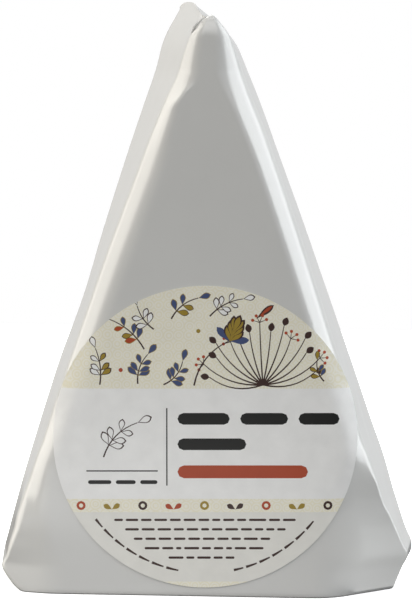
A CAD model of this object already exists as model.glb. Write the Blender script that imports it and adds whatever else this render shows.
"""A wedge of soft cheese in its folded paper wrapper, with a round printed sticker on the front.

The wrapper is one sheet, built as a grid of rows and columns: a column starts under the lap down
the back, goes round the right side, the front and the left side, and ends on the lap. Shapes are
worked out in millimetres and written to the meshes in metres.
"""

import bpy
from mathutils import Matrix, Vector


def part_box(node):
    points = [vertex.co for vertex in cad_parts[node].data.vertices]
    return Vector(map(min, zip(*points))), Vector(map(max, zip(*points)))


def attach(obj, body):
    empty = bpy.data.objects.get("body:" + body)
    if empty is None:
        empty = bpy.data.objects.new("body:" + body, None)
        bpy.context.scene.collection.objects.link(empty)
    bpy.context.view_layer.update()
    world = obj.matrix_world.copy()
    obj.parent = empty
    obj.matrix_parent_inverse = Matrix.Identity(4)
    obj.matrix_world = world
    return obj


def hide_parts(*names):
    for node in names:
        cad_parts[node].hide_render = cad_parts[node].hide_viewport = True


bl_info = {
    "name": "Wrapped cheese wedge",
    "version": (1, 0, 0),
    "blender": (4, 5, 0),
    "location": "View3D > Sidebar > Cheese",
    "description": "Builds a cheese wedge in folded glossy paper, its sticker and a plain studio",
    "category": "Add Mesh",
}

import math

import bmesh
import bpy
import numpy as np
from bpy.props import FloatProperty, FloatVectorProperty, PointerProperty
from mathutils import Quaternion, Vector, geometry, noise
from mathutils.bvhtree import BVHTree

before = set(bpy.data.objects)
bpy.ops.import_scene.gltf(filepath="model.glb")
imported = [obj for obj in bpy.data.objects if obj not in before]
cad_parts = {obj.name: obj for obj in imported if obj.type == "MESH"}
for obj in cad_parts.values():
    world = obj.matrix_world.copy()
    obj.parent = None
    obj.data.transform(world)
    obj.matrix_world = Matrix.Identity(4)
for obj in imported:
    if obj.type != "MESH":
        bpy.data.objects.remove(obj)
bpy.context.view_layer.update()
MM = 0.001  # metres in a millimetre


def node_box(node):
    """Lowest and highest corner of a CAD node, in millimetres."""
    low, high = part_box(node)
    return np.array(low) / MM, np.array(high) / MM


PACK_LOW, PACK_HIGH = node_box("wrapper")
STICKER_LOW, STICKER_HIGH = node_box("sticker")
CHEESE_LOW, CHEESE_HIGH = node_box("cheese_wedge")
FRONT_Y = PACK_LOW[1]  # flat front face of the pack
BACK_Y = -FRONT_Y  # flat back face, under the lap

# ---- outline of the sleeve ----
SLOPE = math.tan(math.radians(18.5))  # of each long side
NOSE_Z = 133.9  # top of the front face
FRONT_HALF = 48.0  # half width of the front face, run down to the base
FRONT_BELLY = 1.2  # how far slack paper bows its long edges
FRONT_MIDDLE = -0.7
EDGE_DEPTH = 26.5  # from the front face to the widest line of each side
SOFT = 6.0  # radius of a loose shoulder
BEVEL = 3.5  # from a shoulder's corner to each half of its turn
SNUG_BEVELS = 2.2  # a front narrower than this many bevels shrinks them
REAR_RADIUS = 5.0
BASE_ROLL = 0.45  # radius of the paper where it turns under the base

# Widest line of each side, as (height, x).
LEFT_EDGE = (
    (0, -43.4), (3, -45.9), (6, -47.3), (10.2, -46.4), (22.2, -43.4), (43.8, -37.3), (51, -35.1),
    (65.3, -30.0), (72.5, -27.8), (79.6, -25.9), (100.9, -19.6), (117.4, -14.4), (124.5, -12.3),
    (130.3, -10.3), (136, -8.4),
)
RIGHT_EDGE = (
    (0, 45.8), (2.2, 47.0), (4.6, 47.9), (7.4, 48.9), (9.4, 48.6), (11.8, 47.6), (14.2, 46.7),
    (23.7, 43.8), (30.9, 41.6), (38, 38.9), (59.3, 31.1), (80.5, 23.4), (101.5, 15.4),
    (117.8, 9.1), (127.1, 4.6), (130.6, 2.6), (136, -1.5),
)
# The crest of each front shoulder, as (height, x and y from the corner, radius).
RIGHT_CREST = (
    (0, -3.1, 14, 2), (5.6, 0.5, 11, 1.4), (9.5, 2.9, 9, 1.2), (11, 2.6, 8.2, 1.1),
    (15.5, 2.0, 6.6, 1.0), (18.7, 1.5, 5.6, 1.0), (21.7, 0.8, 4.6, 1.0), (26.6, 0.6, 3.2, 1.0),
    (30.4, 0.3, 2.6, 2.0), (37, 0.15, 3.2, 4.5), (46, 0.25, BEVEL, 7), (106, 0.25, BEVEL, SOFT),
    (118, -0.3, BEVEL, SOFT), (128, 0.0, BEVEL, SOFT), (140, 0.25, BEVEL, SOFT),
)
LEFT_CREST = (
    (0, 6.2, 2, 2), (2, 3.4, 3.0, 1.6), (6.4, -0.1, 4.2, 1.2), (7.9, 0.3, 3.6, 1.4),
    (11, 0.1, 2.9, 1.8), (16, 0.2, 2.4, 2.5), (25, -0.2, 3.0, 2.8), (108, -0.1, 3.0, 2.8),
    (114, 0.1, 3.0, 2.8), (120, 0.7, 2.9, 2.5), (127, 0.3, 2.6, 2.2), (140, 0.0, 2.6, 2.2),
)
# Where the front face starts to bend towards that crest, as (height, x from the corner, radius).
RIGHT_BEND = (
    (0, -18, 12), (5, -14.5, 20), (10, -12, 24), (20, -11, 26), (29, -6.5, 14), (34, -3.2, 6),
    (40, -2.7, 4), (47, -3.0, 3.5), (60, -3.7, 3.5), (100, -3.9, 3.0), (112, -4.6, 3.0),
    (118, -4.8, 5), (124, -4.4, SOFT), (140, -BEVEL, SOFT),
)
LEFT_BEND = (
    (0, 13, 18), (6.4, 11.5, 18), (14, 8, 12), (24, 4.0, 8), (31, 2.7, 6), (45, 2.7, 6),
    (58, 4.0, 9), (98, 3.8, 8), (109, 2.5, 6), (113, 2.3, 3), (116.3, 3.5, 2.2),
    (118.5, 3.8, 5), (124, 3.6, 7), (140, 3.0, SOFT),
)

# ---- the tip ----
CLOSING_Z = 120.0  # from here up the columns run to the ridge
RIDGE = (  # the ridge from the nose to the back, as (y, x, z)
    (-15.0, -0.4, 133.9), (-12.0, -1.4, 133.6), (-9.0, -2.6, 133.7), (-5.0, -3.5, 134.7),
    (5.0, -5.0, 136.0), (8.0, -5.9, 136.0), (11.0, -6.9, 135.7), (13.5, -7.6, 135.2),
    (16.2, -8.1, 134.5),
)
SEAM_STEP = 0.3  # the fold's left side stands above its right side
SLIT_BOTTOM = 129.8
SLIT_OPENING = 0.8
SLIT_SPREAD = 5  # columns that give way beside the slit
SLIT_TUCK = np.array([0.7, 1.1, 0])  # the paper inside the slit, as a share of its opening
SLIT_BLUNT = 0.7  # below 1 the slit opens at once, like a spindle
NOSE_WAY = np.array([0.5, -0.5, 0])  # where the nose's side of the slit gives way to
PANEL_WAY = np.array([-0.6, 0.4, 0])  # and the panel's side
NOSE_SETBACK = 2.2  # how far the front face rolls back over the nose
FACE_ROLLS = (-16, -8)  # depths over which that roll fades
FOLD_STARTS = (-14, -4)  # depths over which the blunt nose turns into the fold
FOLD_MEETS = (-4, 6)  # depths over which the fold's two sides come together
BLUNT_FROM = 0.64  # share of the climb where the nose starts to close
SHARP_FROM = 0.25  # and where the fold does
SHARP_POWER = 2.6
BACK_LEANS = (10, 15)  # depths over which the fold's back leans forward
BACK_LEAN = 2.4

# ---- rows and columns of the sheet ----
# Bands of rows as (from height, to height, rows), and the columns on each straight stretch.
ROW_BANDS = ((0, 0.45, 4), (0.45, 34, 57), (34, 112, 72), (112, 129, 34), (129, 134, 18))
ARC_COLUMNS = 9
EDGE_COLUMNS = (14, 15, 2, 76, 2, 15, 26)
LAP_INNER_X = -6.5  # from the middle of the back to the edge under the lap
LAP_OUTER_X = 2.5  # and to the outer edge
LAP_NARROWS = 12  # half width of the back above which the lap keeps its width
REAR_NARROWS = 9  # the same for the radius of the back's corners
LAP_STEP = 0.35  # how far the lap stands off the layer under it
LAP_LOOSE = 6.0  # how much of the lap is loose
LAP_LIFT = 0.7  # how far its edge stands up
LAP_MEAN = 0.75  # share of that lift where it neither rises nor sinks
LAP_WAVE = 17  # height of its waves
LAP_STARTS = (2, 12)  # heights over which the lap comes loose
LAP_ENDS = (108, 124)  # and lies down again


def length(name, description, default):
    """A length setting in metres, from a default in millimetres."""
    return FloatProperty(
        name=name, description=description, default=default * MM, min=0, unit="LENGTH", precision=5
    )


def colour(name, description, default):
    """A colour setting."""
    return FloatVectorProperty(
        name=name, description=description, default=default, subtype="COLOR", size=3, min=0, max=1
    )


def power(name, description, default):
    """The power of a light, in watts."""
    return FloatProperty(name=name, description=description, default=default, min=0, unit="POWER")


def tilt(name, description, degrees):
    """An angle setting, from a default in degrees."""
    return FloatProperty(
        name=name, description=description, default=math.radians(degrees), subtype="ANGLE"
    )


class WrapperSettings(bpy.types.PropertyGroup):
    """Sizes and finish of the paper wrapper."""

    thickness: length("Thickness", "Thickness of the sheet", 0.14)
    slack: length("Slack", "Depth of the soft undulations of the sheet", 0.16)
    paper: colour("Paper", "Colour of the paper", (0.65, 0.65, 0.635))
    roughness: FloatProperty(
        name="Roughness", description="Roughness of the glossy side", default=0.3, min=0, max=1
    )


class StickerSettings(bpy.types.PropertyGroup):
    """Sizes and colours of the round sticker."""

    radius: length("Radius", "Radius of the sticker", 35)
    thickness: length("Thickness", "Thickness of the sticker", 0.12)
    cream: colour("Cream", "Tinted ground of the print", (0.81, 0.77, 0.595))
    white: colour("White", "Plain band of the print", (0.86, 0.86, 0.85))
    slate: colour("Slate", "Blue ink", (0.055, 0.08, 0.19))
    ochre: colour("Ochre", "Yellow ink", (0.33, 0.23, 0.03))
    rust: colour("Rust", "Red ink", (0.41, 0.062, 0.02))
    umber: colour("Umber", "Brown ink", (0.045, 0.02, 0.016))
    black: colour("Black", "Black ink", (0.008, 0.008, 0.007))


class CheeseSettings(bpy.types.PropertyGroup):
    """Finish of the cheese inside."""

    rounding: length("Rounding", "Rounding of the rind's edges", 2.5)
    rind: colour("Rind", "White bloom of the rind", (0.86, 0.84, 0.78))
    paste: colour("Paste", "Cut paste", (0.86, 0.74, 0.45))


class StudioSettings(bpy.types.PropertyGroup):
    """Camera and light."""

    lens: FloatProperty(name="Lens", description="Focal length", default=236, min=1, unit="CAMERA")
    distance: length("Distance", "From the middle of the pack to the camera", 916)
    height: tilt("Height", "Angle that the camera looks down by", 6.5)
    roll: tilt("Roll", "Turn of the camera about its line of sight", 1.0)
    floor: colour("Floor", "Colour of the floor", (0.9, 0.9, 0.9))
    side_light: power("Side light", "Power of each side softbox", 5.7)
    fill_light: power("Fill light", "Power of the low strip", 0.0115)
    bounce_light: power("Bounce light", "Power of the light off the table at the foot", 0.0022)
    front_light: power("Front light", "Power of the front softbox", 6.85)
    back_light: power("Back light", "Power of the softboxes behind", 5)
    top_light: power("Top light", "Power of the top softbox", 1.6)


# ---- shared helpers ----
SHARP_ANGLE = math.radians(55)  # edges that turn further than this stay crisp
NOISE, CELLS = "ShaderNodeTexNoise", "ShaderNodeTexVoronoi"
CLOUD_SPAN = (0.3, 0.7)  # values that soft noise mostly keeps to


def follow(table, heights, column=1):
    """Smooth curve without overshoot through one column of a (height, value, ...) table."""
    knots = np.array([row[0] for row in table], float)
    values = np.array([row[column] for row in table], float)
    secants = np.diff(values) / np.diff(knots)
    before, after = secants[:-1], secants[1:]
    same_way = before * after > 0
    inner = np.where(same_way, 2 * before * after / np.where(same_way, before + after, 1), 0)
    slopes = np.concatenate([secants[:1], inner, secants[-1:]])
    at = np.clip(np.searchsorted(knots, heights) - 1, 0, len(knots) - 2)
    span = knots[at + 1] - knots[at]
    t = np.clip((heights - knots[at]) / span, 0, 1)
    return (
        (1 + 2 * t) * (1 - t) ** 2 * values[at] + t ** 2 * (3 - 2 * t) * values[at + 1]
        + span * t * (1 - t) * ((1 - t) * slopes[at] - t * slopes[at + 1])
    )


def step(value, low, high):
    """0 below low, 1 above high, and smooth between them."""
    t = np.clip((value - low) / (high - low), 0, 1)
    return t * t * (3 - 2 * t)


def unit(vector):
    return vector / np.linalg.norm(vector)


def make_object(name, points, faces, materials, face_materials=None, smooth=True):
    """A mesh object from points in millimetres."""
    mesh = bpy.data.meshes.new(name)
    mesh.from_pydata((np.asarray(points) * MM).tolist(), [], faces)
    for material in materials:
        mesh.materials.append(material)
    if face_materials is not None:
        mesh.polygons.foreach_set("material_index", face_materials)
    mesh.polygons.foreach_set("use_smooth", [smooth] * len(mesh.polygons))
    mesh.validate()
    mesh.update()
    made = bpy.data.objects.new(name, mesh)
    bpy.context.scene.collection.objects.link(made)
    return made


def thicken(piece, thickness):
    """Gives a sheet its thickness, on the side away from its outer face."""
    solid = piece.modifiers.new("Thickness", "SOLIDIFY")
    solid.thickness = thickness
    solid.offset = -1
    solid.use_even_offset = False
    apply_modifiers(piece)


def apply_modifiers(piece):
    graph = bpy.context.evaluated_depsgraph_get()
    finished = bpy.data.meshes.new_from_object(piece.evaluated_get(graph))
    finished.name = piece.name
    finished.set_sharp_from_angle(angle=SHARP_ANGLE)
    piece.modifiers.clear()
    piece.data = finished


def add_node(tree, kind, **values):
    """A node whose input sockets are set from values, with a _ for a space in a socket's name."""
    made = tree.nodes.new(kind)
    for name, value in values.items():
        made.inputs[name.replace("_", " ")].default_value = value
    return made


def surface_material(name, base, roughness, **values):
    """A material with its Principled shader, its node tree and object coordinates."""
    material = bpy.data.materials.new(name)
    material.use_nodes = True
    tree = material.node_tree
    shader = tree.nodes["Principled BSDF"]
    shader.inputs["Base Color"].default_value = (*base, 1)
    shader.inputs["Roughness"].default_value = roughness
    for key, value in values.items():
        shader.inputs[key.replace("_", " ")].default_value = value
    coordinates = tree.nodes.new("ShaderNodeTexCoord").outputs["Object"]
    return material, tree, shader, coordinates


def texture(tree, coordinates, kind, output, **values):
    """One output of a texture node that is laid out by the given coordinates."""
    made = add_node(tree, kind, **values)
    tree.links.new(coordinates, made.inputs["Vector"])
    return made.outputs[output]


def map_range(tree, value, low, high, to_low, to_high):
    made = add_node(
        tree, "ShaderNodeMapRange", From_Min=low, From_Max=high, To_Min=to_low, To_Max=to_high
    )
    tree.links.new(value, made.inputs["Value"])
    return made.outputs["Result"]


def noise_between(tree, coordinates, scale, low, high):
    """Noise spread between two values."""
    cloud = texture(tree, coordinates, NOISE, "Fac", Scale=scale, Detail=4)
    return map_range(tree, cloud, *CLOUD_SPAN, low, high)


def mix_colours(tree, factor, first, second):
    """Mixes two colours. Each is a constant or the output of another node."""
    made = tree.nodes.new("ShaderNodeMix")
    made.data_type = "RGBA"
    tree.links.new(factor, made.inputs["Factor"])
    for name, value in (("A", first), ("B", second)):
        if isinstance(value, tuple):
            made.inputs[name].default_value = (*value, 1)
        else:
            tree.links.new(value, made.inputs[name])
    return made.outputs["Result"]


def mottle(tree, shader, coordinates, base, scale, depth):
    """Varies the base colour by a share of depth, in soft patches."""
    amount = noise_between(tree, coordinates, scale, 1 - depth, 1)
    tint = mix_colours(tree, amount, (0, 0, 0), tuple(base))
    tree.links.new(tint, shader.inputs["Base Color"])
    return tint


def add_bump(tree, shader, height, strength, distance):
    bump = add_node(tree, "ShaderNodeBump", Strength=strength, Distance=distance * MM)
    tree.links.new(height, bump.inputs["Height"])
    tree.links.new(bump.outputs["Normal"], shader.inputs["Normal"])


# ---- wrapper ----
def paper_material(settings):
    """White laminated paper: satin gloss, faint fibres and slight clouding."""
    material, tree, shader, coordinates = surface_material(
        "glossy_wrapper_paper", settings.paper, settings.roughness,
        Coat_Weight=0.7, Coat_Roughness=0.2, Specular_IOR_Level=0.65,
    )
    mottle(tree, shader, coordinates, settings.paper, scale=90, depth=0.02)
    low, high = settings.roughness - 0.02, settings.roughness + 0.03
    rough = noise_between(tree, coordinates, 160, low, high)
    tree.links.new(rough, shader.inputs["Roughness"])
    fibres = texture(tree, coordinates, NOISE, "Fac", Scale=1400, Detail=6, Roughness=0.6)
    add_bump(tree, shader, fibres, strength=0.25, distance=0.012)
    return material


def rounded_path(points, radii, edge_columns):
    """Points along a path that turns round each of its inner points on an arc."""
    made = []
    last = points[0]
    for i, radius in enumerate(radii):
        corner = points[i + 1]
        back, ahead = points[i] - corner, points[i + 2] - corner
        half = math.acos(np.clip(unit(back) @ unit(ahead), -1, 1)) / 2
        room = 0.5 * min(np.linalg.norm(back), np.linalg.norm(ahead))
        reach = min(radius / math.tan(half), room)
        radius = reach * math.tan(half)
        start, end = corner + unit(back) * reach, corner + unit(ahead) * reach
        centre = corner + unit(unit(back) + unit(ahead)) * radius / math.sin(half)
        made += [last + (start - last) * k / edge_columns[i] for k in range(edge_columns[i])]
        turn = math.pi - 2 * half
        for k in range(ARC_COLUMNS):
            share = k / ARC_COLUMNS
            across = math.sin((1 - share) * turn) * (start - centre)
            along = math.sin(share * turn) * (end - centre)
            made.append(centre + (across + along) / math.sin(turn))
        last = end
    steps = edge_columns[len(radii)]
    made += [last + (points[-1] - last) * k / steps for k in range(steps + 1)]
    return np.array(made)


def plan_at(z):
    """The sheet's plan at height z, from its inner edge under the lap round to its outer edge."""
    belly = FRONT_BELLY * math.sin(math.pi * min(z, NOSE_Z) / NOSE_Z)
    half = FRONT_HALF + belly - SLOPE * z
    right, left = FRONT_MIDDLE + half, FRONT_MIDDLE - half
    snug = min(1.0, half / (SNUG_BEVELS * BEVEL))
    right_crest = [follow(RIGHT_CREST, z, k) * snug for k in (1, 2, 3)]
    left_crest = [follow(LEFT_CREST, z, k) * snug for k in (1, 2, 3)]
    right_bend = [follow(RIGHT_BEND, z, k) * snug for k in (1, 2)]
    left_bend = [follow(LEFT_BEND, z, k) * snug for k in (1, 2)]
    reach = (BACK_Y - FRONT_Y) / EDGE_DEPTH
    rear_right = right + (follow(RIGHT_EDGE, z) - right) * reach
    rear_left = left + (follow(LEFT_EDGE, z) - left) * reach
    rear_middle = (rear_left + rear_right) / 2
    rear_half = (rear_right - rear_left) / 2
    lap = min(1.0, rear_half / LAP_NARROWS)
    rear_radius = REAR_RADIUS * min(1, rear_half / REAR_NARROWS)
    points = np.array([
        (rear_middle + LAP_INNER_X * lap, BACK_Y - LAP_STEP / 2),
        (rear_right, BACK_Y - LAP_STEP / 2),
        (right + right_crest[0], FRONT_Y + right_crest[1]),
        (right + right_bend[0], FRONT_Y),
        (left + left_bend[0], FRONT_Y),
        (left + left_crest[0], FRONT_Y + left_crest[1]),
        (rear_left, BACK_Y + LAP_STEP / 2),
        (rear_middle + LAP_OUTER_X * lap, BACK_Y + LAP_STEP / 2),
    ])
    radii = [
        rear_radius, right_crest[2], right_bend[1], left_bend[1], left_crest[2], rear_radius,
    ]
    return rounded_path(points, radii, EDGE_COLUMNS)


def row_heights():
    rows = [np.linspace(low, high, count, endpoint=False) for low, high, count in ROW_BANDS]
    return np.concatenate([*rows, [ROW_BANDS[-1][1]]])


def column_starts():
    """The first column of each arc, in order: rear right, right crest, right bend, and so on."""
    starts = []
    at = 0
    for count in EDGE_COLUMNS[:-1]:
        at += count
        starts.append(at)
        at += ARC_COLUMNS
    return starts


def close_tip(grid, heights):
    """Draws the top of every column to the ridge."""
    top = heights[-1]
    base = int(np.searchsorted(heights, CLOSING_Z))
    depth = grid[base, :, 1]
    ridge_x = follow([(y, x) for y, x, z in RIDGE], depth)
    ridge_z = follow([(y, z) for y, x, z in RIDGE], depth)
    climb = np.clip((heights - CLOSING_Z) / (top - CLOSING_Z), 0, 1)[:, None]
    grid[:, :, 2] += climb * (ridge_z - top)[None, :]
    # The nose is blunt, and the fold behind it comes to an edge.
    behind = step(depth, *FOLD_STARTS)[None, :]
    closing = np.clip((climb - BLUNT_FROM) / (1 - BLUNT_FROM), 0, 1)
    blunt = np.sqrt(np.clip(1 - closing ** 2, 0, 1))
    sharp = 1 - np.clip((climb - SHARP_FROM) / (1 - SHARP_FROM), 0, 1) ** SHARP_POWER
    share = blunt * (1 - behind) + sharp * behind
    grid[:, :, 0] = ridge_x + (grid[:, :, 0] - ridge_x) * share
    far_side = np.arange(len(depth)) < len(depth) // 2
    fold = step(depth, *FOLD_MEETS)
    under = SEAM_STEP * climb * (far_side * fold)[None, :]
    grid[:, :, 2] -= under
    grid[:, :, 0] += under / 2
    front = 1 - step(depth, *FACE_ROLLS)[None, :]
    grid[:, :, 1] += NOSE_SETBACK * front * (1 - blunt)
    # Behind the nose both sides of the fold meet along one line.
    grid[:, :, 1] += climb ** 2 * fold[None, :] * (depth[None, :] - grid[:, :, 1])
    grid[:, :, 1] -= BACK_LEAN * step(depth, *BACK_LEANS)[None, :] * climb ** 2


def sheet_normals(grid):
    across = np.gradient(grid, axis=1)
    up = np.gradient(grid, axis=0)
    normals = np.cross(up, across)
    size = np.linalg.norm(normals, axis=2, keepdims=True)
    return normals / np.maximum(size, 1e-6)


WIDE_SLACK = 31  # size of the broad undulations
FINE_SLACK = 9  # and of the fine ones on them
FINE_SHARE = 0.1
FINE_PLACE = Vector((7, 3, 1))
SLACK_ENDS = (124, 131)  # heights over which the paper is drawn tight
FOOT_GRIP = (0, 3)  # heights over which the base holds it flat
FACING_MARGIN = 6  # columns past the front's shoulders that still fold
FOLD_GROWS = (-0.12, 0.3)  # shares of a fold's length over which it comes
FOLD_ENDS = (0.7, 1.12)  # and goes
# Hand-placed folds of the front: from (x, z) to (x, z), how far it stands out, how wide it is.
FOLDS = (
    ((-47, 6.2), (-38, 5.8), -0.15, 1.4),
    ((-44.5, 14.5), (-40.5, 24), 0.35, 1.6),
    ((-43.5, 13.5), (-41.5, 7.5), -0.15, 1.3),
    ((43.4, 18.6), (38.5, 15.5), -0.2, 1.8),
    ((41.0, 3.2), (44.5, 2.6), 0.15, 1.2),
    ((39.5, 26.6), (36.8, 22.0), -0.22, 1.6),
    ((-38.6, 33), (-34.8, 41.5), -0.25, 2.2),
    ((36.6, 34), (34.6, 44), -0.25, 1.8),
)


def fold_relief(x, z):
    """How far the hand-placed folds stand out at each point of the front."""
    relief = np.zeros_like(x)
    for (x0, z0), (x1, z1), out, width in FOLDS:
        along = np.array([x1 - x0, z1 - z0])
        size = np.linalg.norm(along)
        along = along / size
        run = (x - x0) * along[0] + (z - z0) * along[1]
        off = (x - x0) * -along[1] + (z - z0) * along[0]
        share = run / size
        fade = step(share, *FOLD_GROWS) * (1 - step(share, *FOLD_ENDS))
        relief += out * fade * np.exp(-np.abs(off) / width)
    return relief


def relief_of(grid, heights, settings):
    """Undulations and folds of the sheet, along its normal."""
    starts = column_starts()
    columns = np.arange(grid.shape[1])
    first = starts[1] - FACING_MARGIN
    facing = (columns >= first) & (columns <= starts[4] + ARC_COLUMNS + FACING_MARGIN)
    slack = settings.slack / MM
    cloud = np.empty(grid.shape[:2])
    for i, row in enumerate(grid):
        for j, point in enumerate(row):
            wide = noise.noise(Vector(point) / WIDE_SLACK)
            fine = noise.noise(Vector(point) / FINE_SLACK + FINE_PLACE)
            cloud[i, j] = slack * (wide + FINE_SHARE * fine)
    relief = cloud * (1 - step(heights, *SLACK_ENDS))[:, None]
    relief += fold_relief(grid[:, :, 0], grid[:, :, 2]) * facing[None, :]
    relief *= step(heights, *FOOT_GRIP)[:, None]
    return relief


def lift_lap(grid, heights):
    """The loose outer edge of the lap stands off the back, more in some places than others."""
    edge = grid[:, -1:, 0]
    near = 1 - step(edge - grid[:, :, 0], 0, LAP_LOOSE)
    near[:, :column_starts()[5] + ARC_COLUMNS] = 0
    wave = np.array([noise.noise(Vector((5.0, 2.0, z / LAP_WAVE))) for z in heights])
    lift = LAP_LIFT * (LAP_MEAN + wave) * step(heights, *LAP_STARTS) * (1 - step(heights, *LAP_ENDS))
    grid[:, :, 1] += near ** 2 * lift[:, None]


def sheet_grid(settings):
    heights = row_heights()
    grid = np.empty((len(heights), len(plan_at(heights[0])), 3))
    for i, z in enumerate(heights):
        grid[i, :, :2] = plan_at(z)
        grid[i, :, 2] = z
    close_tip(grid, heights)
    normals = sheet_normals(grid)
    grid += normals * relief_of(grid, heights, settings)[:, :, None]
    lift_lap(grid, heights)
    # The paper rolls under along the base.
    for i, z in enumerate(heights):
        if z < BASE_ROLL:
            inset = BASE_ROLL * (1 - math.sqrt(1 - (1 - z / BASE_ROLL) ** 2))
            flat = normals[i, :, :2] / np.linalg.norm(normals[i, :, :2], axis=1, keepdims=True)
            grid[i, :, :2] -= flat * inset
    return grid, heights


def open_slit(points, faces, grid, heights, column):
    """Opens the sheet along one column above the slit's foot, with a tuck of paper inside."""
    foot = int(np.searchsorted(heights, SLIT_BOTTOM))
    rows, columns = grid.shape[:2]
    last = rows - 1
    nose_edge = {}
    tuck = {}
    for row in range(foot + 1, last):
        share = (row - foot) / (last - foot)
        gape = SLIT_OPENING * math.sin(math.pi * share) ** SLIT_BLUNT
        nose_edge[row] = len(points)
        tuck[row] = len(points) + 1
        points.append(grid[row, column] + NOSE_WAY * gape)
        points.append(grid[row, column] + SLIT_TUCK * gape)
        for away in range(SLIT_SPREAD):
            give = gape * (1 - away / SLIT_SPREAD)
            points[row * columns + column + away] = grid[row, column + away] + PANEL_WAY * give
            if away:
                points[row * columns + column - away] = grid[row, column - away] + NOSE_WAY * give
    for k, face in enumerate(faces):
        if min(corner % columns for corner in face) == column - 1:
            faces[k] = [
                nose_edge.get(corner // columns, corner) if corner % columns == column else corner
                for corner in face
            ]
    for row in range(foot, last):
        low, high = row * columns + column, (row + 1) * columns + column
        sides = [
            [nose_edge.get(row, low), nose_edge.get(row + 1, high), tuck.get(row + 1, high),
             tuck.get(row, low)],
            [tuck.get(row, low), tuck.get(row + 1, high), high, low],
        ]
        faces += [list(dict.fromkeys(side)) for side in sides]


SIDE_REACH, SIDE_TAPER = 24, 0.75  # how far a side flap goes in and narrows
FRONT_REACH, FRONT_TAPER = 7, 0.18  # the depth that the front flap reaches, and its taper
BACK_REACH, BACK_TAPER = -5, 0.14
SIDE_LAYER, FRONT_LAYER, BACK_INNER, BACK_OUTER = 0.66, 0.36, 0.1, 0.02
FLAP_STEPS = 10
FLAP_RISE = 3  # a flap is on its layer after 1 / this of its length


def side_flap(way):
    return lambda p, share: (p[0] + way * SIDE_REACH * share, p[1] * (1 - SIDE_TAPER * share))


def long_flap(reach, taper):
    return lambda p, share: (p[0] * (1 - taper * share), p[1] + (reach - p[1]) * share)


def base_flaps(grid):
    """The parcel end: side flaps go in first, then the front one, then the back one over it."""
    cuts = [start + ARC_COLUMNS // 2 for start in column_starts()]
    last = grid.shape[1] - 1
    ring = grid[0]
    flaps = (
        (cuts[0], cuts[1], side_flap(-1), SIDE_LAYER),
        (cuts[4], cuts[5], side_flap(1), SIDE_LAYER),
        (cuts[1], cuts[4], long_flap(FRONT_REACH, FRONT_TAPER), FRONT_LAYER),
        (0, cuts[0], long_flap(BACK_REACH, BACK_TAPER), BACK_INNER),
        (cuts[5], last, long_flap(BACK_REACH, BACK_TAPER), BACK_OUTER),
    )
    points, faces = [], []
    for first, final, place, level in flaps:
        count = final - first + 1
        base = len(points)
        for k in range(1, FLAP_STEPS + 1):
            share = k / FLAP_STEPS
            for column in range(first, final + 1):
                x, y = place(ring[column], share)
                z = ring[column][2] + level * min(1, FLAP_RISE * share)
                points.append(np.array([x, y, z]))
        for k in range(FLAP_STEPS):
            for c in range(count - 1):
                lower = [base + (k - 1) * count + c, base + (k - 1) * count + c + 1]
                if k == 0:
                    lower = [("ring", first + c), ("ring", first + c + 1)]
                upper = [base + k * count + c + 1, base + k * count + c]
                faces.append([*lower, *upper])
    return points, faces


def wrapper_mesh(settings):
    grid, heights = sheet_grid(settings)
    rows, columns = grid.shape[:2]
    points = [point for row in grid for point in row]
    faces = []
    for row in range(rows - 1):
        for column in range(columns - 1):
            a = row * columns + column
            faces.append([a, a + columns, a + columns + 1, a + 1])
    open_slit(points, faces, grid, heights, column_starts()[4] + ARC_COLUMNS // 2)
    flap_points, flap_faces = base_flaps(grid)
    offset = len(points)
    points += flap_points
    for face in flap_faces:
        faces.append([c[1] if isinstance(c, tuple) else c + offset for c in face])
    return points, faces


FINDER_START = 10  # how far before the front a probe sets out


def front_finder():
    """A function that gives the y of the built wrapper's front at (x, z), in millimetres."""
    sheet = bpy.data.objects.get("paper_wrapper")
    if sheet is None:
        raise RuntimeError("build the wrapper first")
    points = [vertex.co / MM for vertex in sheet.data.vertices]
    tree = BVHTree.FromPolygons(points, [tuple(face.vertices) for face in sheet.data.polygons])

    def find(x, z):
        hit = tree.ray_cast(Vector((x, FRONT_Y - FINDER_START, z)), Vector((0, 1, 0)))[0]
        return hit.y if hit else None

    return find


class CHEESE_OT_wrapper(bpy.types.Operator):
    """Build the folded paper wrapper"""

    bl_idname = "cheese.wrapper"
    bl_label = "Wrapper"

    def execute(self, context):
        settings = context.scene.cheese_wrapper
        points, faces = wrapper_mesh(settings)
        sheet = make_object("paper_wrapper", points, faces, [paper_material(settings)])
        thicken(sheet, settings.thickness)
        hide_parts("wrapper")
        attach(sheet, "root")
        return {"FINISHED"}


# ---- sticker ----
WHITE, CREAM, PALE, SLATE, OCHRE, RUST, UMBER, BLACK = range(8)
STICKER_TURN = math.radians(1.0)  # the sticker was put on a little turned
STICKER_GAP = 0.04  # glue under the sticker
STIFF_STAND = 0.12  # the stiff sticker bridges the paper's undulations
STIFF_BEND = 0.65  # how far its ends bend back towards the shoulders
STIFF_FLAT = 24.0  # half width that stays flat
OVERHANG_SHARE = 0.6  # how closely its edge follows a shoulder that falls away
OVERHANG_MOST = 2.0  # and how far it bends there at most
ROW_RATIO = 0.866  # between the rows of a mesh of even triangles, as a share of their side
WELD = 1e-4  # printed outlines this close together share their points
MESH_STEP = 1.4  # spacing of the sticker's inner points
RIM_SIDES = 120
DOT_SIDES = 8
LEAF_POINTS = 8
LEAF_FULLNESS = 0.8  # below 1 a leaf's sides are fuller
STROKE_THINS = 0.45  # share of a line's width that it loses to its end
STEM_WIDTH, RAY_WIDTH, STALK_WIDTH = 0.36, 0.38, 0.2
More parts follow.
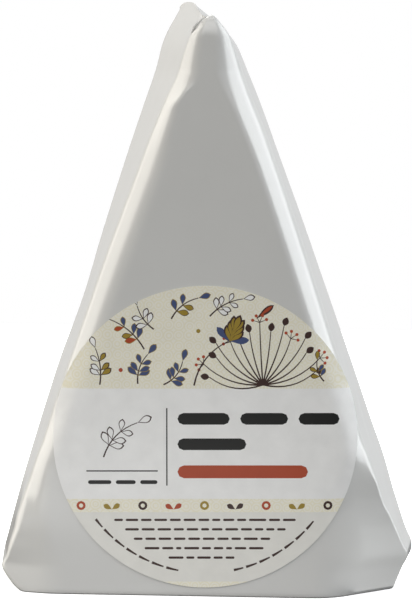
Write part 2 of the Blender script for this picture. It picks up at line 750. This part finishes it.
# A leaf's fill within its rim: share of its length left free, share filled, width left free.
OUTLINED, SOLID = (0.11, 0.78, 0.42), (0.06, 0.88, 0.3)
FIRST_PAIR, PAIR_SPREAD = 0.2, 0.7  # shares of a stem at its first leaves and up to the last
LEAF_ANGLE, LEAF_CLOSES = 58, 6  # degrees from the stem, and how much less at each pair
LEAF_SHRINKS = 0.08
SHORT_RAY = 0.86  # length of every other ray of the flower head
RAY_BOW = 1.7
BERRY_FAN, BERRY_REACH, BERRY_RADIUS = (-70, -25, 25, 70), 1.7, 0.38
SEED = (2.1, 1.5, 0.5)  # length, width and place of the widest part
PALE_WHITE, PALE_CREAM = 0.7, 0.2  # shares of white and cream in the lowest ground


def disc(centre, radius, sides=12):
    turns = [2 * math.pi * k / sides for k in range(sides)]
    return [(centre[0] + radius * math.cos(t), centre[1] + radius * math.sin(t)) for t in turns]


def slab(left, bottom, right, top):
    """A rectangle with points along its long sides, so that it can bend."""
    steps = max(1, int((right - left) / MESH_STEP))
    across = [left + (right - left) * k / steps for k in range(steps + 1)]
    return [(x, bottom) for x in across] + [(x, top) for x in reversed(across)]


def dash(left, right, middle, height):
    """A bar with round ends."""
    r = height / 2
    steps = max(1, int((right - left) / MESH_STEP))
    inner = [left + r + (right - left - height) * k / steps for k in range(1, steps)]
    ends = [math.radians(angle) for angle in (-90, -45, 0, 45, 90)]
    made = [(right - r + r * math.cos(t), middle + r * math.sin(t)) for t in ends]
    made += [(x, middle + r) for x in reversed(inner)]
    made += [(left + r - r * math.cos(t), middle - r * math.sin(t)) for t in ends]
    return made + [(x, middle - r) for x in inner]


def leaf(base, angle, size, width, belly=0.64):
    """A pointed leaf that grows from base at an angle in degrees."""
    turn = math.radians(angle)
    along = np.array([math.cos(turn), math.sin(turn)])
    aside = np.array([-along[1], along[0]])
    shares = np.linspace(0, 1, LEAF_POINTS)
    swell = np.sin(math.pi * shares ** (math.log(0.5) / math.log(belly)))
    half = width / 2 * swell ** LEAF_FULLNESS
    one = [np.array(base) + along * size * t + aside * h for t, h in zip(shares, half)]
    other = [np.array(base) + along * size * t - aside * h for t, h in zip(shares, half)]
    return [tuple(p) for p in one[:-1] + other[:0:-1]]


def bow(start, end, lift, steps=9):
    """Points from start to end on a curve that bows to the left by lift."""
    start, end = np.array(start, float), np.array(end, float)
    along = end - start
    aside = np.array([-along[1], along[0]]) / np.linalg.norm(along)
    shares = np.linspace(0, 1, steps)
    return [start + along * t + aside * lift * 4 * t * (1 - t) for t in shares]


def stroke(points, width):
    """A line of ink along points, which thins towards its end."""
    points = [np.array(p, float) for p in points]
    left, right = [], []
    for i, point in enumerate(points):
        along = unit(points[min(i + 1, len(points) - 1)] - points[max(i - 1, 0)])
        aside = np.array([-along[1], along[0]])
        half = width / 2 * (1 - STROKE_THINS * i / (len(points) - 1))
        left.append(tuple(point + aside * half))
        right.append(tuple(point - aside * half))
    return right + left[::-1]


def filled_leaf(base, angle, size, rim, fill, style):
    """A leaf with a rim of one ink round a fill of another."""
    skip, keep, trim = style
    turn = math.radians(angle)
    inner = (base[0] + skip * size * math.cos(turn), base[1] + skip * size * math.sin(turn))
    width = 0.5 * size
    return [
        (leaf(base, angle, size, width), rim),
        (leaf(inner, angle, keep * size, width - trim), fill),
    ]


def sprig(start, end, lift, pairs, size, inks, outlined=False):
    """A stem with leaves on both sides and one at its tip."""
    line = bow(start, end, lift)
    shapes = [(stroke(line, STEM_WIDTH), UMBER)]
    heading = math.degrees(math.atan2(*(line[-1] - line[-2])[::-1]))

    def grow(at, angle, reach, ink):
        rim = UMBER if outlined or ink == OCHRE else OCHRE
        return filled_leaf(at, angle, reach, rim, ink, OUTLINED if outlined else SOLID)

    for k in range(pairs):
        place = int(round((FIRST_PAIR + PAIR_SPREAD * k / pairs) * (len(line) - 1)))
        at = line[place]
        near = line[min(place + 1, len(line) - 1)]
        course = math.degrees(math.atan2(near[1] - at[1], near[0] - at[0]))
        for side in (1, -1):
            ink = inks[(2 * k + (side < 0)) % len(inks)]
            angle = course + side * (LEAF_ANGLE - LEAF_CLOSES * k)
            shapes += grow(at, angle, size * (1 - LEAF_SHRINKS * k), ink)
    return shapes + grow(line[-1], heading, size, inks[0])


def umbel(base, radius, first, last, rays):
    """A flower head of bowed rays, each with a seed or a cluster of seeds at its end."""
    shapes = []
    for k in range(rays):
        angle = math.radians(first + (last - first) * k / (rays - 1))
        reach = radius * (1 if k % 2 else SHORT_RAY)
        end = (base[0] + reach * math.cos(angle), base[1] + reach * math.sin(angle))
        lift = -RAY_BOW * math.cos(angle)
        shapes.append((stroke(bow(base, end, lift), RAY_WIDTH), UMBER))
        if k % 3 == 1:
            for turn in BERRY_FAN:
                fan = angle + math.radians(turn)
                berry = (end[0] + BERRY_REACH * math.cos(fan), end[1] + BERRY_REACH * math.sin(fan))
                shapes.append((stroke([end, berry], STALK_WIDTH), UMBER))
                shapes.append((disc(berry, BERRY_RADIUS, DOT_SIDES), RUST))
        else:
            shapes.append((leaf(end, math.degrees(angle), *SEED), UMBER))
    return shapes


def bud(base, angle, size):
    """A scaly bud: rows of ochre leaves over two slate ones."""
    shapes = [(leaf(base, angle + side * 64, 0.8 * size, 0.3 * size), SLATE) for side in (1, -1)]
    turn = math.radians(angle)
    for row in range(3):
        climb = row * 0.2 * size
        at = (base[0] + climb * math.cos(turn), base[1] + climb * math.sin(turn))
        splay = 34 - 7 * row
        for way, long, wide in ((-splay, 0.7, 0.3), (splay, 0.7, 0.3), (0, 0.78, 0.32)):
            shapes += [
                (leaf(at, angle + way, long * size, wide * size), UMBER),
                (leaf(at, angle + way, (long - 0.1) * size, (wide - 0.1) * size), OCHRE),
            ]
    return shapes


BAND_TOP, BAND_BOTTOM, STRIP_BOTTOM, FOOT = 11.3, -14.3, -17.4, -33.6


GROUND_MARGIN = 5  # how far the grounds run past the rim
# Sprigs of the top part as (foot, tip, bow, pairs of leaves, leaf length, inks, outlined).
TOP_SPRIGS = (
    ((-15.5, 12.4), (-13.2, 19.2), 0.8, 3, 3.1, (SLATE, SLATE)),
    ((-9.6, 12.2), (-5.2, 17.6), -0.9, 3, 3.0, (SLATE, SLATE)),
    ((-14.0, 20.4), (-22.2, 27.4), -1.0, 3, 3.0, (RUST, SLATE, OCHRE, SLATE)),
    ((-24.2, 12.2), (-25.2, 20.6), -0.6, 3, 3.0, (WHITE, OCHRE), True),
    ((-11.8, 25.0), (-15.6, 30.4), 0.6, 2, 3.0, (WHITE, WHITE), True),
    ((-7.8, 27.4), (-1.6, 32.2), 0.9, 2, 3.0, (SLATE, OCHRE)),
    ((1.0, 28.0), (8.6, 32.0), 0.8, 3, 2.9, (WHITE, WHITE), True),
)
SIDE_SPRIG = ((27.2, 13.0), (25.6, 17.8), 0.6, 2, 2.3, (OCHRE, SLATE))
BAND_SPRIG = ((-23.4, -4.6), (-15.6, 3.4), 1.4, 3, 3.6, (WHITE, WHITE), True)
BAND_RULE = (-9.0, -11.2, -8.7, 6.8)  # left, bottom, right, top
# Plain bars of the band as (left, right, middle, height, ink).
BAND_BARS = (
    (-6.4, 5.6, 4.3, 2.7, BLACK), (8.0, 19.0, 4.3, 2.7, BLACK), (21.4, 30.8, 4.3, 2.7, BLACK),
    (-6.4, 9.4, -1.6, 2.7, BLACK), (-6.4, 23.6, -8.0, 3.0, RUST),
    (-27.4, -10.9, -7.8, 0.3, BLACK),
    (-27.0, -21.6, -10.4, 0.9, BLACK), (-20.6, -16.0, -10.4, 0.9, BLACK),
    (-15.0, -11.0, -10.4, 0.9, BLACK),
)
# The narrow strip: its small signs, their spacing, rings and pairs of petals.
SIGNS, SIGNS_LEFT, SIGNS_STEP = 9, -28.6, 7.1
RING_OUTER, RING_INNER, RING_SIDES = 1.05, 0.5, 12
PETAL_SIZE, PETAL_ANGLES, PETAL_DROP = (2.2, 1.2), (150, 35), 0.9


def printed_shapes(radius):
    """Every printed shape as (outline, ink), in order of printing."""
    wide = radius + GROUND_MARGIN
    shapes = [
        (disc((0, 0), radius, RIM_SIDES), WHITE),
        (slab(-wide, BAND_TOP, wide, wide), CREAM),
        (slab(-wide, STRIP_BOTTOM, wide, BAND_BOTTOM), CREAM),
        (slab(-wide, FOOT, wide, STRIP_BOTTOM), PALE),
        (slab(-wide, -wide, wide, FOOT), CREAM),
    ]
    for drawn in TOP_SPRIGS:
        shapes += sprig(*drawn)
    shapes += [(leaf((11.6, 27.4), 38, 5.2, 1.5), UMBER), (leaf((12.3, 28.0), 38, 3.9, 0.7), RUST)]
    shapes += umbel((13.2, 12.2), 14.4, 14, 172, 15)
    shapes += [(stroke(bow((-2.6, 12.0), (5.6, 22.4), 1.7), 0.4), UMBER)]
    shapes += bud((5.6, 22.2), 68, 5.6)
    shapes += sprig(*SIDE_SPRIG)
    shapes += [(disc((-19.4, 15.6), 0.5, DOT_SIDES), RUST)]
    shapes += [(disc((-1.6, 24.6), 0.5, DOT_SIDES), OCHRE)]
    middle = (BAND_BOTTOM + STRIP_BOTTOM) / 2
    for k in range(SIGNS):
        across = SIGNS_LEFT + SIGNS_STEP * k
        ink = (RUST, OCHRE, UMBER)[k % 3]
        if k % 2:
            foot = (across, middle - PETAL_DROP)
            shapes += [(leaf(foot, angle, *PETAL_SIZE), ink) for angle in PETAL_ANGLES]
        else:
            shapes.append((disc((across, middle), RING_OUTER, RING_SIDES), ink))
            shapes.append((disc((across, middle), RING_INNER, DOT_SIDES), CREAM))
    shapes.append((slab(*BAND_RULE), BLACK))
    for left, right, at, height, ink in BAND_BARS:
        shapes.append((dash(left, right, at, height), ink))
    return shapes + sprig(*BAND_SPRIG) + fine_rows(radius)


# Rows of fine bars as (height on the sticker, half length), and arcs of them in degrees.
FINE_ROWS = ((-19.2, 21.0), (-21.4, 18.5), (-23.6, 16.5), (-25.8, 14.0), (-28.0, 8.5))
FINE_ARCS = ((217, 258), (282, 321))
FINE_HEIGHT, FINE_GAP = 0.55, 0.6
FINE_SHORT, FINE_MEAN, FINE_SPREAD = 1.0, 1.5, 2.4
FINE_REST = 1.2  # a row ends when less than this is left
ARC_INSET, ARC_WIDTH = 3.4, 0.62
ARC_MEAN, ARC_SPREAD, ARC_GAP = 3.2, 3.2, 1.2  # degrees


def fine_rows(radius):
    """Rows of short bars of uneven length, straight at first and then along the rim."""
    shapes = []
    for i, (at, half) in enumerate(FINE_ROWS):
        left = -half
        k = 0
        while left < half - FINE_REST:
            uneven = noise.noise(Vector((3.7 * i + 0.4, 1.9 * k + 0.3, 2))) + 0.5
            right = min(left + max(FINE_SHORT, FINE_MEAN + FINE_SPREAD * uneven), half)
            shapes.append((dash(left, right, at, FINE_HEIGHT), UMBER))
            left = right + FINE_GAP
            k += 1
    rim = radius - ARC_INSET
    for first, last in FINE_ARCS:
        angle = first
        k = 0
        while angle < last:
            sweep = ARC_MEAN + ARC_SPREAD * (noise.noise(Vector((0.9 * k + 0.2, first, 5))) + 0.5)
            turns = [math.radians(angle + sweep * t / 3) for t in range(4)]
            line = [(rim * math.cos(t), rim * math.sin(t)) for t in turns]
            shapes.append((stroke(line, ARC_WIDTH), UMBER))
            angle += sweep + ARC_GAP
            k += 1
    return shapes


def printed_mesh(shapes, radius):
    """Cuts the round sticker along every printed outline. Gives points, triangles and inks."""
    points, loops = [], []
    for outline, ink in shapes:
        turns = sum(p[0] * q[1] - q[0] * p[1] for p, q in zip(outline, outline[1:] + outline[:1]))
        outline = outline if turns > 0 else outline[::-1]
        loops.append(list(range(len(points), len(points) + len(outline))))
        points += [Vector(point) for point in outline]
    reach = int(radius / MESH_STEP) + 1
    for i in range(-reach, reach + 1):
        for k in range(-reach, reach + 1):
            spot = Vector(((i + 0.5 * (k % 2)) * MESH_STEP, k * MESH_STEP * ROW_RATIO))
            if spot.length < radius - 0.5 * MESH_STEP:
                points.append(spot)
    cut = geometry.delaunay_2d_cdt(points, [], loops, 1, WELD)
    triangles, inks = [], []
    for triangle, sources in zip(cut[2], cut[5]):
        middle = sum((cut[0][i] for i in triangle), Vector((0, 0))) / 3
        if 0 in sources or middle.length < radius * math.cos(math.pi / RIM_SIDES):
            triangles.append(list(triangle))
            inks.append(shapes[max(sources)][1])
    used = sorted({i for triangle in triangles for i in triangle})
    place = {old: new for new, old in enumerate(used)}
    triangles = [[place[i] for i in triangle] for triangle in triangles]
    return [cut[0][i] for i in used], triangles, inks


RING_STEP = 0.13  # spacing of the rings in each scale of the cream ground
RING_PALE = 0.6  # how pale they are at most


def print_material(name, settings, base, scales):
    """Printed label paper; the cream ground has a faint pattern of scales."""
    material, tree, shader, coordinates = surface_material(
        name, base, roughness=0.42, Coat_Weight=0.12, Coat_Roughness=0.3,
    )
    tint = mottle(tree, shader, coordinates, base, scale=260, depth=0.06)
    if scales:
        rings = texture(tree, coordinates, CELLS, "Distance", Scale=430, Randomness=0.15)
        wave = tree.nodes.new("ShaderNodeMath")
        wave.operation = "PINGPONG"
        wave.inputs[1].default_value = RING_STEP
        tree.links.new(rings, wave.inputs[0])
        line = map_range(tree, wave.outputs[0], 0, RING_STEP, 0, RING_PALE)
        tint = mix_colours(tree, line, tint, tuple(settings.white))
        tree.links.new(tint, shader.inputs["Base Color"])
    grain = texture(tree, coordinates, NOISE, "Fac", Scale=2200, Detail=4)
    add_bump(tree, shader, grain, strength=0.2, distance=0.008)
    return material


class CHEESE_OT_sticker(bpy.types.Operator):
    """Build the round printed sticker on the wrapper's front"""

    bl_idname = "cheese.sticker"
    bl_label = "Sticker"

    def execute(self, context):
        settings = context.scene.cheese_sticker
        radius = settings.radius / MM
        flat, triangles, inks = printed_mesh(printed_shapes(radius), radius)
        centre = (STICKER_LOW + STICKER_HIGH) / 2
        front = front_finder()
        cos, sin = math.cos(STICKER_TURN), math.sin(STICKER_TURN)
        points = []
        for a, b in flat:
            x = centre[0] + a * cos - b * sin
            z = centre[2] + a * sin + b * cos
            paper = front(x, z)
            if paper is None:
                raise RuntimeError("the sticker reaches past the wrapper's front")
            ends = max(0.0, abs(a) - STIFF_FLAT) / (radius - STIFF_FLAT)
            drop = OVERHANG_SHARE * max(0.0, paper - FRONT_Y)
            over = OVERHANG_MOST * (1 - math.exp(-drop / OVERHANG_MOST))
            stiff = FRONT_Y - STIFF_STAND + STIFF_BEND * ends ** 2 + over
            outer = min(paper - STICKER_GAP, stiff) - settings.thickness / MM
            points.append((x, outer, z))
        pale = tuple(
            PALE_WHITE * w + PALE_CREAM * c for w, c in zip(settings.white, settings.cream)
        )
        prints = [("label_white", settings.white), ("label_cream", settings.cream)]
        prints.append(("label_pale", pale))
        for ink in ("slate", "ochre", "rust", "umber", "black"):
            prints.append(("ink_" + ink, getattr(settings, ink)))
        materials = [
            print_material(name, settings, base, scales=name == "label_cream")
            for name, base in prints
        ]
        label = make_object("round_sticker", points, triangles, materials, inks)
        thicken(label, settings.thickness)
        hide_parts("sticker")
        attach(label, "root")
        return {"FINISHED"}


# ---- cheese ----
WHEEL_RADIUS = 126.0
WEDGE_HALF_ANGLE = math.pi / 10
WHEEL_SIDES = 24  # flats round the wedge's share of the wheel
SHARP_CUT = 0.5  # turn, in radians, from which an edge gets rounded
ROUNDING_STEPS = 5
EVEN_MESH = 1.2  # size of the finished wedge's faces
SINK = 0.25  # how far soft cheese sinks in, and as much more or less
DIMPLE = 4  # size of its dimples
PAPER_CLEARANCE = 0.7  # kept between the cheese and the paper's outer face
RIND_DEPTH = 2  # how far the rind reaches in from the wheel's side
RIND_FACING = 0.6  # a face that looks this far along the axle is rind
PASTE, RIND = range(2)


def rind_material(settings):
    """White bloomy rind: soft felt, a little cloudy."""
    material, tree, shader, coordinates = surface_material(
        "bloomy_rind", settings.rind, roughness=0.85, Sheen_Weight=0.25, Sheen_Roughness=0.5,
    )
    mottle(tree, shader, coordinates, settings.rind, scale=140, depth=0.12)
    felt = texture(tree, coordinates, NOISE, "Fac", Scale=900, Detail=8, Roughness=0.7)
    add_bump(tree, shader, felt, strength=0.6, distance=0.15)
    return material


def paste_material(settings):
    """Soft ivory paste with small eyes and a slight glow."""
    material, tree, shader, coordinates = surface_material(
        "cut_paste", settings.paste, roughness=0.5, Subsurface_Weight=0.3, Subsurface_Scale=0.003,
    )
    mottle(tree, shader, coordinates, settings.paste, scale=220, depth=0.1)
    eyes = texture(tree, coordinates, CELLS, "Distance", Scale=260)
    add_bump(tree, shader, eyes, strength=0.35, distance=0.2)
    return material


def wedge_blank(rounding):
    """The wedge as cut, with its edges rounded."""
    top = CHEESE_HIGH[2]
    turns = np.linspace(-WEDGE_HALF_ANGLE, WEDGE_HALF_ANGLE, WHEEL_SIDES + 1)
    outline = [(WHEEL_RADIUS * math.sin(t), top - WHEEL_RADIUS * math.cos(t)) for t in turns]
    outline.append((0, top))
    work = bmesh.new()
    low, high = CHEESE_LOW[1], CHEESE_HIGH[1]
    face = work.faces.new([work.verts.new((x, low, z)) for x, z in outline])
    made = bmesh.ops.extrude_face_region(work, geom=[face])["geom"]
    for item in made:
        if isinstance(item, bmesh.types.BMVert):
            item.co.y = high
    bmesh.ops.recalc_face_normals(work, faces=work.faces)
    sharp = [edge for edge in work.edges if edge.calc_face_angle(0) > SHARP_CUT]
    bmesh.ops.bevel(
        work, geom=sharp, offset=rounding, segments=ROUNDING_STEPS, profile=0.5, affect="EDGES"
    )
    bmesh.ops.triangulate(work, faces=work.faces)
    points = [tuple(vert.co) for vert in work.verts]
    faces = [[vert.index for vert in face.verts] for face in work.faces]
    work.free()
    return points, faces


class CHEESE_OT_wedge(bpy.types.Operator):
    """Build the cheese wedge inside the wrapper"""

    bl_idname = "cheese.wedge"
    bl_label = "Cheese wedge"

    def execute(self, context):
        settings = context.scene.cheese_filling
        points, faces = wedge_blank(settings.rounding / MM)
        materials = [paste_material(settings), rind_material(settings)]
        wedge = make_object("soft_cheese_wedge", points, faces, materials)
        remesh = wedge.modifiers.new("Even mesh", "REMESH")
        remesh.mode = "VOXEL"
        remesh.voxel_size = EVEN_MESH * MM
        remesh.use_smooth_shade = True
        apply_modifiers(wedge)
        front = front_finder()
        top = CHEESE_HIGH[2]
        for vertex in wedge.data.vertices:
            point = vertex.co / MM
            point = point - vertex.normal * (SINK + SINK * noise.noise(point / DIMPLE))
            limit = front(point.x, point.z) if point.y < 0 else None
            if limit is not None:
                point.y = max(point.y, limit + PAPER_CLEARANCE)
            vertex.co = point * MM
        for face in wedge.data.polygons:
            centre = face.center / MM
            rim = math.hypot(centre.x, top - centre.z) > WHEEL_RADIUS - RIND_DEPTH
            flat = abs(face.normal.y) > RIND_FACING
            face.material_index = RIND if rim or flat else PASTE
        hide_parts("cheese_wedge")
        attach(wedge, "root")
        return {"FINISHED"}


# ---- stage ----
CAMERA_TARGET = (-0.0007, 0, 0.0671)
CLIPPING = (0.01, 50)
SENSOR_HEIGHT = 36
FLOOR_HALF = 0.5
FLOOR_CORNERS = ((-1, -1), (1, -1), (1, 1), (-1, 1))
FLOOR_GLOW = 0.6
PACK_MIDDLE = tuple((PACK_LOW + PACK_HIGH) / 2 * MM)
WARM, COOL, NEUTRAL = (1.0, 0.96, 0.88), (0.95, 0.98, 1.0), (1, 1, 1)
# Softboxes in metres: name, place, target, (width, height), setting, share of its power, tint.
SOFTBOXES = (
    ("left_softbox", (-0.65, -0.07, 0.25), PACK_MIDDLE, (0.74, 0.8), "side_light", 1, WARM),
    ("right_softbox", (0.65, -0.02, 0.25), PACK_MIDDLE, (0.74, 0.8), "side_light", 1.03, COOL),
    ("back_softbox", (0, 1.0, 0.35), PACK_MIDDLE, (2.4, 1.0), "back_light", 1, NEUTRAL),
    ("rear_fill", (-0.3, 1.1, 0.9), PACK_MIDDLE, (0.8, 0.6), "back_light", 0.7, NEUTRAL),
    ("top_softbox", (0, -0.1, 0.8), PACK_MIDDLE, (0.9, 0.7), "top_light", 1, NEUTRAL),
    ("front_fill", (0, -1.1, 0.75), PACK_MIDDLE, (1.2, 0.9), "front_light", 1, NEUTRAL),
    ("floor_bounce", (0.01, -0.034, 0.0008), (0.01, -0.034, 0.1), (0.13, 0.035),
     "bounce_light", 1, NEUTRAL),
    ("corner_bounce", (0.05, -0.012, 0.0008), (0.05, -0.012, 0.1), (0.03, 0.03),
     "bounce_light", 0.55, NEUTRAL),
    ("low_fill", (-0.036, -0.08, 0.014), (-0.036, 0, 0.012), (0.12, 0.02),
     "fill_light", 1, NEUTRAL),
)


def aim(thing, target):
    """Turns a camera or light so that it looks at target."""
    direction = Vector(target) - thing.location
    thing.rotation_euler = direction.to_track_quat("-Z", "Y").to_euler()


def softbox(name, place, target, size, power, tint):
    light = bpy.data.lights.new(name, "AREA")
    light.shape = "RECTANGLE"
    light.size, light.size_y = size
    light.energy = power
    light.color = tint
    made = bpy.data.objects.new(name, light)
    bpy.context.scene.collection.objects.link(made)
    made.location = place
    made.visible_camera = False
    aim(made, target)


def add_camera(settings, target):
    camera = bpy.data.cameras.new("camera")
    camera.sensor_fit = "VERTICAL"
    camera.sensor_height = SENSOR_HEIGHT
    camera.lens = settings.lens
    camera.clip_start, camera.clip_end = CLIPPING
    made = bpy.data.objects.new("camera", camera)
    bpy.context.scene.collection.objects.link(made)
    back = Vector((0, -math.cos(settings.height), math.sin(settings.height)))
    made.location = target + back * settings.distance
    made.rotation_mode = "QUATERNION"
    made.rotation_quaternion = Quaternion(back, settings.roll) @ back.to_track_quat("Z", "Y")
    bpy.context.scene.camera = made


class CHEESE_OT_studio(bpy.types.Operator):
    """Set up the floor, the soft light and the camera"""

    bl_idname = "cheese.studio"
    bl_label = "Studio"

    def execute(self, context):
        settings = context.scene.cheese_studio
        add_camera(settings, Vector(CAMERA_TARGET))
        for name, place, target, size, setting, share, tint in SOFTBOXES:
            softbox(name, place, target, size, getattr(settings, setting) * share, tint)
        mesh = bpy.data.meshes.new("floor")
        corners = [(x * FLOOR_HALF, y * FLOOR_HALF, 0) for x, y in FLOOR_CORNERS]
        mesh.from_pydata(corners, [], [(0, 1, 2, 3)])
        floor = bpy.data.objects.new("floor", mesh)
        material, tree, shader, coordinates = surface_material(
            "matte_floor", settings.floor, roughness=0.9
        )
        mottle(tree, shader, coordinates, settings.floor, scale=3, depth=0.02)
        shader.inputs["Emission Color"].default_value = (1, 1, 1, 1)
        shader.inputs["Emission Strength"].default_value = FLOOR_GLOW
        floor.visible_diffuse = False
        floor.visible_glossy = False
        mesh.materials.append(material)
        context.scene.collection.objects.link(floor)
        world = bpy.data.worlds.new("studio")
        world.use_nodes = True
        world.node_tree.nodes["Background"].inputs["Color"].default_value = (1, 1, 1, 1)
        world.node_tree.nodes["Background"].inputs["Strength"].default_value = 1.0
        world.cycles_visibility.diffuse = False
        world.cycles_visibility.glossy = False
        context.scene.world = world
        context.scene.view_settings.view_transform = "Standard"
        return {"FINISHED"}


class CHEESE_PT_pack(bpy.types.Panel):
    """Settings and builders of the wrapped cheese wedge"""

    bl_idname = "CHEESE_PT_pack"
    bl_label = "Wrapped cheese wedge"
    bl_space_type = "VIEW_3D"
    bl_region_type = "UI"
    bl_category = "Cheese"

    def draw(self, context):
        scene = context.scene
        groups = (
            (scene.cheese_wrapper, "cheese.wrapper"),
            (scene.cheese_sticker, "cheese.sticker"),
            (scene.cheese_filling, "cheese.wedge"),
            (scene.cheese_studio, "cheese.studio"),
        )
        for settings, operator in groups:
            box = self.layout.box()
            for name in settings.bl_rna.properties.keys():
                if name not in ("rna_type", "name"):
                    box.prop(settings, name)
            box.operator(operator)


CLASSES = (
    WrapperSettings, StickerSettings, CheeseSettings, StudioSettings,
    CHEESE_OT_studio, CHEESE_OT_wrapper, CHEESE_OT_sticker, CHEESE_OT_wedge, CHEESE_PT_pack,
)


def register():
    for kind in CLASSES:
        bpy.utils.register_class(kind)
    bpy.types.Scene.cheese_wrapper = PointerProperty(type=WrapperSettings)
    bpy.types.Scene.cheese_sticker = PointerProperty(type=StickerSettings)
    bpy.types.Scene.cheese_filling = PointerProperty(type=CheeseSettings)
    bpy.types.Scene.cheese_studio = PointerProperty(type=StudioSettings)


def unregister():
    for name in ("cheese_wrapper", "cheese_sticker", "cheese_filling", "cheese_studio"):
        delattr(bpy.types.Scene, name)
    for kind in reversed(CLASSES):
        bpy.utils.unregister_class(kind)


def main():
    register()
    bpy.ops.cheese.studio()
    bpy.ops.cheese.wrapper()
    bpy.ops.cheese.sticker()
    bpy.ops.cheese.wedge()


if __name__ == "__main__":
    main()
